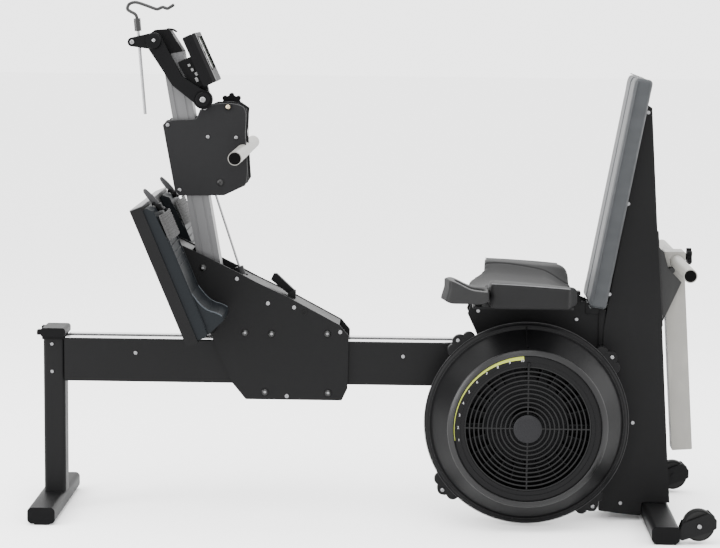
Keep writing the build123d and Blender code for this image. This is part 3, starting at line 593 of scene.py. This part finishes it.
def make_back_pad():
    """Long upholstered board: crowned front, tight sides, one sewn channel down its middle."""
    form = block(PAD_SIZE, 7, 4)
    bmesh.ops.translate(form, vec=PAD_MIDDLE, verts=form.verts)
    bmesh.ops.transform(form, matrix=BACK_PLACE, verts=form.verts)
    pad = add_piece("back_cushion", form, "frame", "pad_fabric", ("back_pad",))
    replace_mesh(pad, "REMESH", mode="VOXEL", voxel_size=0.0058)
    puff(pad, 4.0, 0.0045)
    replace_mesh(pad, "SUBSURF", levels=1, render_levels=1)
    inward = Matrix.Scale(MM, 4) @ BACK_PLACE @ Matrix.Scale(1 / MM, 4)
    outward = inward.inverted()
    for vertex in pad.data.vertices:
        spot = outward @ vertex.co
        front = 1 - smoothstep(0.004, 0.016, spot.x)
        channel = front * CHANNEL_DEPTH * max(0.0, 1 - (abs(spot.y) / CHANNEL_HALF_WIDTH)) ** 0.6
        hem = front * 0.0016 * max(0.0, 1 - abs(abs(spot.y) - 0.097) / 0.005)
        spot.x = max(spot.x + channel + hem, 0.0006)
        spot.x = min(spot.x, 0.0468)
        spot.z = min(max(spot.z, -0.0095), 0.6065)
        vertex.co = inward @ spot
    seam = Shape()
    for side in (-1, 1):
        line = [(SEAM_DEPTH, side * PAD_HALF_WIDTH, along) for along in (3, 60, 180, 300, 420, 540, 594)]
        seam.add(wire(line, 1.5), BACK_PLACE)
        end = [(SEAM_DEPTH, y, PAD_MIDDLE[2] + side * 305.5) for y in (-106, -60, 0, 60, 106)]
        seam.add(wire(end, 1.5), BACK_PLACE)
    add_piece("back_cushion_piping", seam, "frame", "piping")
    stitches = Shape()
    stitches.add(block((3.0, 7.0, 590), 1.2), BACK_PLACE @ at(7.2, 2.0, 298))
    for n in range(58):
        stitches.add(block((1.0, 1.2, 6.2), 0.3, 1), BACK_PLACE @ at(5.6, 2.0, 12 + 10 * n))
    add_piece("back_cushion_stitching", stitches, "frame", "thread")


def merged_copy(node):
    """The design's own solid for a node, in millimetres, with its loose triangles joined up."""
    form = bmesh.new()
    form.from_mesh(NODES[node].data)
    bmesh.ops.remove_doubles(form, verts=form.verts, dist=0.00002)
    bmesh.ops.scale(form, vec=(1 / MM, 1 / MM, 1 / MM), verts=form.verts)
    return form


def make_seat():
    """Moulded saddle: raised wings either side, a dished middle and a line round the insert."""
    seat = add_piece("seat_cushion", merged_copy("seat_pad"), "frame", "seat_foam",
                     ("seat_pad",))
    replace_mesh(seat, "REMESH", mode="VOXEL", voxel_size=0.005)
    replace_mesh(seat, "SMOOTH", factor=0.5, iterations=5)
    replace_mesh(seat, "SUBSURF", levels=1, render_levels=1)
    for vertex in seat.data.vertices:
        x, y, z = vertex.co / MM
        high = smoothstep(600, 632, z)
        reach = abs(y)
        back = smoothstep(300, 530, x)
        middle = 1 - smoothstep(110, 235, reach)
        dish = 14 * middle * (1 - ((x - 400) / 190) ** 2)
        fall = 13 * back + 30 * smoothstep(455, 545, x) * middle
        nose = 16 * (1 - smoothstep(250, 330, x)) * middle
        line = 176 + 16 * sin((x - 262) / 62) - 26 * smoothstep(440, 540, x)
        groove = 2.6 * max(0.0, 1 - abs(reach - line) / 5.0)
        z -= high * (max(dish, 0) * 0.6 + fall + nose + groove)
        vertex.co = Vector((x, y, z)) * MM


def make_seat_grip():
    """Hand grip beside the seat: a paddle that rises towards its free end, with a finger slot."""
    paddle = add_piece("seat_hand_grip", merged_copy("seat_grip"), "frame", "grip_plastic",
                       ("seat_grip",))
    replace_mesh(paddle, "REMESH", mode="VOXEL", voxel_size=0.0028)
    replace_mesh(paddle, "SMOOTH", factor=0.5, iterations=12)
    for vertex in paddle.data.vertices:
        x, y, z = vertex.co / MM
        if z < 604:
            continue
        under = 1 - smoothstep(606, 626, z)
        ends = max(1 - smoothstep(178, 214, x), smoothstep(284, 306, x))
        front = (1 - under) * (1 - smoothstep(180, 266, x))
        drop = smoothstep(222, 300, x) * (1 - 0.5 * smoothstep(-235, -205, y))
        z += under * 7 * ends - (1 - under) * 7 * drop
        z += 23 * front
        x += 9 * front
        vertex.co = Vector((x, y, z)) * MM


def make_seat_rim_highlights():
    """A lighter line along each outer edge of the seat: a painted highlight where the edge catches the light.
    """
    # Lighter wire on each edge: painted highlight, not wear.
    rim = Shape()
    for side in (-1, 1):
        line = [(307, side * 268.5, 656.2), (360, side * 269, 654.4), (430, side * 269, 650.2),
                (480, side * 268.5, 646.6), (506, side * 266, 644.4)]
        rim.add(wire(line, 1.3))
    add_piece("seat_rim_highlight_line", rim, "frame", "seat_rim_highlight")


# ---- fan ------------------------------------------------------------------------------------
FAN_X, FAN_Z = 408, 275
FAN_MIDDLE = at(FAN_X, 0, FAN_Z)
FAN_FACE = -223
LUG_ANGLES = (39, 130, 220, 309)
SCALE_START, SCALE_SWEEP = 190, 96


def round_fan(radius, degrees_round, y):
    a = radians(degrees_round)
    return (FAN_X + radius * cos(a), y, FAN_Z + radius * sin(a))


def make_fan_scale():
    """The wedge-shaped airflow band, and the numerals inside it."""
    band = bmesh.new()
    steps = 44
    rows = []
    for n in range(steps + 1):
        share = n / steps
        angle = SCALE_START - SCALE_SWEEP * share
        outer = 189.5
        inner = 188.2 - 8.2 * share ** 1.6
        rows.append([band.verts.new(round_fan(r, angle, FAN_FACE - (0.25 if r < 187 else 0.1)))
                     for r in (outer, inner)])
    for first, second in zip(rows, rows[1:]):
        band.faces.new((first[0], second[0], second[1], first[1]))
    bmesh.ops.recalc_face_normals(band, faces=band.faces)
    bmesh.ops.solidify(band, geom=band.faces[:], thickness=0.5)
    add_piece("airflow_band", band, "frame", "scale_green")
    marks = Shape()
    for n in range(10):
        angle = SCALE_START - (SCALE_SWEEP - 1.5) * n / 9
        marks.add(numeral(str(n + 1), 9.5, 0.25), Matrix.Translation(round_fan(178.8, angle, FAN_FACE - 0.3)))
    add_piece("airflow_numerals", marks, "frame", "scale_white")


def make_fan_casing():
    """Casing ribs and seams, the bevelled ring round the face, lighter lines on the flange edges (painted
    highlights) and the lugs.
    """
    trim = Shape()
    for angle, inner, outer in ((91, 207, 262), (133, 196, 250), (38, 196, 250)):
        place = FAN_MIDDLE @ Matrix.Rotation(radians(-angle), 4, "Y")
        run = [(inner + 4, -209), (inner + 22, -188), (outer - 12, -153.5), (outer - 4, -150)]
        rib = [(r, y) for r, y in run] + [(r - 1.6, y + 1.4) for r, y in reversed(run)]
        form = bmesh.new()
        face = form.faces.new([form.verts.new((r, y - 1.3, -2.0)) for r, y in rib])
        grown = bmesh.ops.extrude_face_region(form, geom=[face])
        moved = [g for g in grown["geom"] if isinstance(g, bmesh.types.BMVert)]
        bmesh.ops.translate(form, vec=(0, 0, 4.0), verts=moved)
        trim.add(form, place)
    for radius, y in ((262.5, -143.6), (251.5, -151.8)):
        outer, inner = radius + 1.4, radius - 1.6
        trim.add(turned([(inner, y), (outer, y), (outer, y - 1.6), (inner, y - 1.6)], 120), FAN_MIDDLE)
    add_piece("fan_casing_trim", trim, "frame", "fan_plastic")
    ring = turned([(190.6, -222.5), (190.6, -224.6), (192.0, -226.2), (205.0, -221.0), (206.4, -219.0),
                   (206.4, -216.0), (190.6, -216.0)], 128)
    bmesh.ops.translate(ring, vec=(FAN_X, 0, FAN_Z), verts=ring.verts)
    add_piece("fan_face_ring", ring, "frame", "fan_ring")
    # Lighter lines round the flange edges: painted highlights where the rims catch the light.
    rims = Shape()
    for radius, y in ((266.0, -143.2), (252.6, -152.4)):
        line = [(radius - 0.8, y), (radius + 0.6, y), (radius + 0.3, y - 0.9), (radius - 0.5, y - 0.9)]
        rims.add(turned(line, 128), FAN_MIDDLE)
    add_piece("fan_edge_highlight_lines", rims, "frame", "fan_edge_highlight")
    lobes = Shape()
    for angle in LUG_ANGLES:
        for turn, radius, reach in ((0, 20, 274), (5.4, 17, 268), (-5.4, 17, 268)):
            x, _, z = round_fan(reach, angle + turn, 0)
            outline = [(0, -126), (radius, -126), (radius, -137), (radius - 1.6, -140),
                       (radius - 5, -141.4), (0, -141.8)]
            lobes.add(turned(outline, 32), at(x, 0, z))
    add_piece("fan_lug_lobes", lobes, "frame", "fan_plastic")


def make_fan_fixings():
    """The hub cap, and a screw in each lug."""
    cap = Shape()
    outline = [(0, -221), (36, -221), (36.5, -222.4), (34, -224.2), (20, -225), (0, -225.3)]
    cap.add(turned(outline, 64), FAN_MIDDLE)
    add_piece("fan_hub_cap", cap, "frame", "hub_plastic")
    heads = Shape()
    for angle in LUG_ANGLES:
        x, _, z = round_fan(281, angle, 0)
        heads.add(socket_head(5.6, 4.2, -142), at(x, 0, z))
    add_piece("fan_lug_screws", heads, "frame", "screw_steel")


# ---- foot boards ------------------------------------------------------------------------------
BOARD = leaning((-435, 496), 22.7)
BOARD_NEAR, BOARD_FAR = -270, -96
BOARD_MIDDLE = (BOARD_NEAR + BOARD_FAR) / 2
BOARD_FACE = 31


def make_toe_straps():
    """Ribbed toe bands over the boards, with their buckles and the tongues they are pulled by."""
    webbing = Shape()
    path = [(-85, 0.4), (-80, 4), (-68, 9), (-48, 12.4), (-20, 14), (0, 14.3), (20, 14), (48, 12.4),
            (68, 9), (80, 4), (85, 0.4)]
    band = bmesh.new()
    near = [band.verts.new((BOARD_FACE + rise, BOARD_MIDDLE + across, 268)) for across, rise in path]
    far = [band.verts.new((BOARD_FACE + rise, BOARD_MIDDLE + across, 336)) for across, rise in path]
    for n in range(len(path) - 1):
        band.faces.new((near[n], near[n + 1], far[n + 1], far[n]))
    bmesh.ops.recalc_face_normals(band, faces=band.faces)
    bmesh.ops.solidify(band, geom=band.faces[:], thickness=-2.4)
    webbing.add(band, BOARD)
    webbing.both_sides()
    add_piece("toe_bands", webbing, "carriage", "strap_web", ("foot_straps",))
    ribs = Shape()
    for n in range(9):
        along = 272 + 7.5 * n
        line = [(BOARD_FACE + 2.6 + rise, BOARD_MIDDLE + across, along) for across, rise in path[1:-1]]
        ribs.add(wire(line, 1.5, 6), BOARD)
    ribs.both_sides()
    add_piece("toe_band_ribs", ribs, "carriage", "strap_rib")
    buckles = Shape()
    buckles.add(block((13, 34, 17), 2.2), BOARD @ at(30, -182, 352))
    buckles.add(block((6, 40, 6), 1.5), BOARD @ at(37, -182, 345))
    buckles.add(block((9, 30, 8), 1.5), BOARD @ at(20, -182, 366))
    buckles.both_sides()
    add_piece("toe_buckles", buckles, "carriage", "black_plastic")
    tongues = Shape()
    tongue = plate([(22, 354), (15, 372), (10, 388), (7, 402), (9, 409), (14, 409), (19, 400), (25, 387),
                    (31, 370), (33, 356)], -189, -175, 1.6)
    tongues.add(tongue, BOARD)
    tongues.both_sides()
    add_piece("strap_tongues", tongues, "carriage", "tongue_grey")


def make_board_trim():
    """Top lip (its light grey a painted reflection of the bright surroundings on the top edge), grip ribs and
    heel-cup rims of the foot boards, and the pivot at their foot.
    """
    lips = Shape()
    # Light grey strip across the top: painted reflection of the white surroundings on the grazing top edge.
    lips.add(block((36, 548, 2.6), 1.0), BOARD @ at(-13.5, 0, 374.4))
    add_piece("board_top_lip", lips, "carriage", "lip_painted_reflection")
    ribs = Shape()
    for n in range(4):
        ribs.add(block((2.4, 150, 3), 0.9), BOARD @ at(BOARD_FACE, BOARD_MIDDLE, 197 + 18 * n))
    for y in (-267, -99):
        ribs.add(block((3.4, 5, 250), 1.4), BOARD @ at(BOARD_FACE + 0.2, y, 150))
    ribs.both_sides()
    add_piece("board_ribs", ribs, "carriage", "foot_plastic")
    profile = [(31.5, 121), (38.2, 92), (52, 66.5), (73, 51), (81, 39.5)]
    for side, end in ((1, "near"), (-1, "far")):
        edge = Shape()
        for y in (-264, -102):
            edge.add(wire([(out + 0.6, y * side, along) for out, along in profile], 1.7, 8), BOARD)
        add_piece("heel_rim_" + end, edge, "heel_" + end, "foot_edge")
    pivot = Shape()
    pivot.add(turned([(0, 0), (14, 0), (14, -3.5), (12.5, -5), (0, -5)], 36), at(-421, -68, 502))
    add_piece("board_pivot_boss", pivot, "carriage", "black_plastic")
    bolt = Shape()
    bolt.add(dome(5.2, 4.0, -73), at(-420.6, 0, 502.4))
    add_piece("board_pivot_bolt", bolt, "carriage", "screw_steel")


# ---- handle slider and column --------------------------------------------------------------------
SLIDER_FACE = -46
TUBE_RADIUS = 17.4
HANDLE_BAR = (-340, 968)
STORED_BAR = (799, 690)


def make_slider_fixings():
    """Screw heads, bolts and a lighter edge line on both slider plates (a painted highlight along their
    rims), and the end of the knob's screw.
    """
    bright = Shape()
    for x, z in ((-537, 1034), (-432, 1004), (-358, 1003), (-506, 864)):
        bright.add(socket_head(5.2, 3.2, SLIDER_FACE), at(x, 0, z))
    bright.add(socket_head(4.2, 2.8, SLIDER_FACE), at(-440, 0, 1077))
    bright.both_sides()
    add_piece("slider_screws", bright, "slider", "screw_steel")
    nose = Shape()
    outline = [(0, 0), (8.6, 0), (8.6, -2.4), (6.6, -2.8), (6.2, -5.5), (4.4, -7), (0, -7.4)]
    nose.add(turned(outline, 24), at(-379, SLIDER_FACE, 1083))
    add_piece("knob_screw_nose", nose, "slider_knob", "brass")
    dark = Shape()
    dark.add(socket_head(8.5, 4.6, SLIDER_FACE), at(-399, 0, 885))
    dark.both_sides()
    add_piece("slider_bolts", dark, "slider", "bolt_black")
    # Lighter line along each slider plate's rim: painted highlight on the plate edge.
    edges = Shape()
    rim = [(-550, 1033), (-539, 1047), (-470, 1048), (-460, 1052), (-453, 1074), (-413, 1092), (-353, 1091),
           (-330, 1077), (-335, 1013), (-325, 893), (-335, 877)]
    edges.add(wire([(x, SLIDER_FACE + 0.4, z) for x, z in rim], 0.9, 4))
    edges.both_sides()
    add_piece("slider_plate_edge_highlights", edges, "slider", "edge_painted_highlight")


def handle_plug(radius, face):
    """A black end plug with a shallow dish, flush in a tube's end at y = face."""
    rim = [(radius - 2.6, face), (radius - 2.0, face - 0.4), (radius - 3.0, face - 3.4)]
    dish = [(radius - 4.6, face - 4.2), (radius * 0.5, face - 3.9), (0, face - 3.7)]
    return turned([(0, face)] + rim + dish, 40)


def make_handle_plugs():
    """The end plugs of the handle bar and of the spare handle."""
    for name, body, (x, z), end in (("handle_end_plugs", "slider", HANDLE_BAR, -306),
                                    ("stored_end_plugs", "stored_handle", STORED_BAR, -328)):
        plugs = Shape()
        plugs.add(handle_plug(TUBE_RADIUS, end), at(x, 0, z))
        plugs.both_sides()
        add_piece(name, plugs, body, "plug_black")


# ---- monitor -----------------------------------------------------------------------------------
MONITOR = leaning((-452, 1205), 24.3)


def make_monitor_face():
    """Glass over the display and its frame line, the side strip, the sockets and the vents."""
    glass = Shape()
    glass.add(block((2.0, 105, 89), 0.6), MONITOR @ at(14.2, 5, 11))
    add_piece("monitor_display", glass, "monitor", "screen")
    frame_line = Shape()
    for along in (57, -35):
        frame_line.add(block((1.6, 110, 2.0), 0.5), MONITOR @ at(18.6, 5, along))
    for across in (-49, 59):
        frame_line.add(block((1.6, 2.0, 92), 0.5), MONITOR @ at(18.6, across, 11))
    add_piece("monitor_window_frame", frame_line, "monitor", "bezel_plastic")
    back = Shape()
    for out, along, tall in ((-24, -30, 9), (-29, -16, 8), (-32, -2, 7), (-29, -44, 12)):
        back.add(block((7, 5, tall), 1.0), MONITOR @ at(out, -50.5, along))
    add_piece("monitor_sockets", back, "monitor", "socket_grey")
    strip = Shape()
    strip.add(block((2.0, 2.6, 132), 0.8), MONITOR @ at(18.4, -72.4, 0))
    add_piece("monitor_side_strip", strip, "monitor", "socket_grey")
    ribs = Shape()
    for n in range(6):
        ribs.add(block((2.4, 108, 3), 0.8), MONITOR @ at(-18.6, 6, 24 + 7 * n))
    add_piece("monitor_vents", ribs, "monitor", "black_plastic")


ARM_TOP = (-572, 1252)
ARM_LOW = (-443, 1102)
ARM_FACE = -66


def arm_ring(radius, half_width, crest, height):
    """A raised ring, with a narrower crest, on a face at y = 0."""
    return turned([(radius - half_width, 0), (radius + half_width, 0), (radius + crest, -height),
                   (radius - crest, -height)], 48)


def make_arm_fixings():
    """Pivot bolts, caps and raised rings on the monitor's arm, and the stud below it."""
    bright = Shape()
    bright.add(dome(5.0, 4.0, -73.5), at(-570, 0, 1254))
    bright.add(socket_head(6.4, 4.4, ARM_FACE), at(-627, 0, 1249))
    add_piece("arm_pivot_bolt", bright, "monitor_arm", "screw_steel")
    rings = Shape()
    for radius in (23, 17.5, 12.5):
        rings.add(arm_ring(radius, 1.5, 0.8, 1.6), at_pivot(ARM_LOW, ARM_FACE))
    for radius in (20, 15):
        rings.add(arm_ring(radius, 1.3, 0.7, 1.4), at_pivot(ARM_TOP, ARM_FACE))
    add_piece("arm_pivot_rings", rings, "monitor_arm", "black_plastic")
    caps = Shape()
    high_cap = [(0, -66), (21, -66), (21, -70), (19, -72.5), (8, -73.5), (0, -73.5)]
    low_cap = [(0, -66), (19, -66), (19, -70), (17.5, -71.4), (0, -71.4)]
    caps.add(turned(high_cap, 48), at_pivot(ARM_TOP))
    caps.add(turned(low_cap, 48), at_pivot(ARM_LOW))
    add_piece("arm_pivot_caps", caps, "monitor_arm", "black_plastic")
    bolt = Shape()
    bolt.add(socket_head(8.0, 3.6, -71.8), at_pivot(ARM_LOW))
    add_piece("monitor_pivot_bolt", bolt, "monitor", "screw_steel")
    stud = Shape()
    stud.add(dome(4.2, 5.2, SLIDER_FACE), at(-437.7, 0, 1079))
    add_piece("slider_end_stud", stud, "slider", "screw_steel")


# ---- seat end, feet and casters --------------------------------------------------------------------
CASTER_AXLE = (842, 49)


def make_seat_fittings():
    """Seat latch, and the gusset plates and pad backing behind the seat."""
    latch = Shape()
    outline = [(512, 604), (522, 611), (538, 606), (549, 596), (551, 585), (534, 582), (514, 588)]
    latch.add(plate(outline, -66, -40, 2.5))
    latch.add(block((13, 30, 10), 2.5), at(541, -53, 607))
    add_piece("seat_latch", latch, "frame", "black_plastic")
    gusset = Shape()
    gusset.add(block((44, 3, 30), 1.0), at(584, -53, 566))
    gusset.add(block((3, 92, 66), 1.0), at(606, 0, 536))
    for y in (-54, 54):
        gusset.add(block((18, 4, 156), 1.0), at(606, y, 486))
    gusset.add(plate([(604, 580), (621, 578), (705, 1072), (695.5, 1082)], -52, 52, 1.0))
    add_piece("seat_back_gusset", gusset, "frame", "black_paint")


def make_caster_details():
    """Axle heads of the near caster, and a rubber tread round each wheel."""
    heads = Shape()
    for foot in (-315.8, -269.8):
        heads.add(dome(6.0, 3.6, foot), at_pivot(CASTER_AXLE))
    add_piece("caster_axle_heads", heads, "frame", "screw_steel")
    outline = [(33, -12.4), (40.2, -12.4), (41.0, -8), (41.2, 0), (41.0, 8), (40.2, 12.4), (33, 12.4)]
    for name, y in (("near", -293), ("far", 293)):
        tread = Shape()
        tread.add(turned(outline, 64), at_pivot(CASTER_AXLE, y))
        add_piece("caster_tread_" + name, tread, "caster_" + name, "rubber")


def make_device_hook():
    """Black sleeve and dipped hook over the top of the device holder's rod."""
    side = -58
    bend = [(-614.8, 1308), (-616, 1316), (-621, 1322), (-632, 1327), (-641, 1333), (-638, 1343),
            (-633, 1348), (-624, 1351), (-614, 1351), (-590, 1343), (-566, 1334), (-560, 1334),
            (-549, 1340), (-543, 1338), (-536, 1335), (-528, 1340), (-519, 1346)]
    sleeve = [(-612.2, 1277), (-613.8, 1294), (-615.0, 1310)]
    hook = Shape()
    hook.add(wire([(x, side, z) for x, z in bend], 4.4, 8))
    hook.add(wire([(x, side, z) for x, z in sleeve], 9.2, 4))
    add_piece("device_hook", hook, "device_holder", "bolt_black")


def make_carriage_fittings():
    """Black bolts and the cable eye of the carriage."""
    bolts = Shape()
    for x, z in ((-443, 661), (-332, 490), (-262, 488), (-115, 490), (-279, 332), (-112, 332)):
        bolts.add(socket_head(8.8, 5.4, -60), at(x, 0, z))
    bolts.both_sides()
    add_piece("carriage_bolt_heads", bolts, "carriage", "bolt_black")
    eye = Shape()
    eye.add(turned([(4.2, 0), (7.4, 0), (7.0, -1.6), (4.6, -1.6)], 30), at(-175.7, -60, 546.3))
    add_piece("carriage_eyelet", eye, "carriage", "rubber")


make_camera()
make_studio()
make_floor()
FINISH = make_finishes()
finish_cad_nodes(FINISH)
make_back_pad()
make_seat()
make_seat_grip()
make_seat_rim_highlights()
make_fan_scale()
make_fan_casing()
make_fan_fixings()
make_toe_straps()
make_board_trim()
make_slider_fixings()
make_handle_plugs()
make_monitor_face()
make_arm_fixings()
make_seat_fittings()
make_caster_details()
make_carriage_fittings()
make_device_hook()
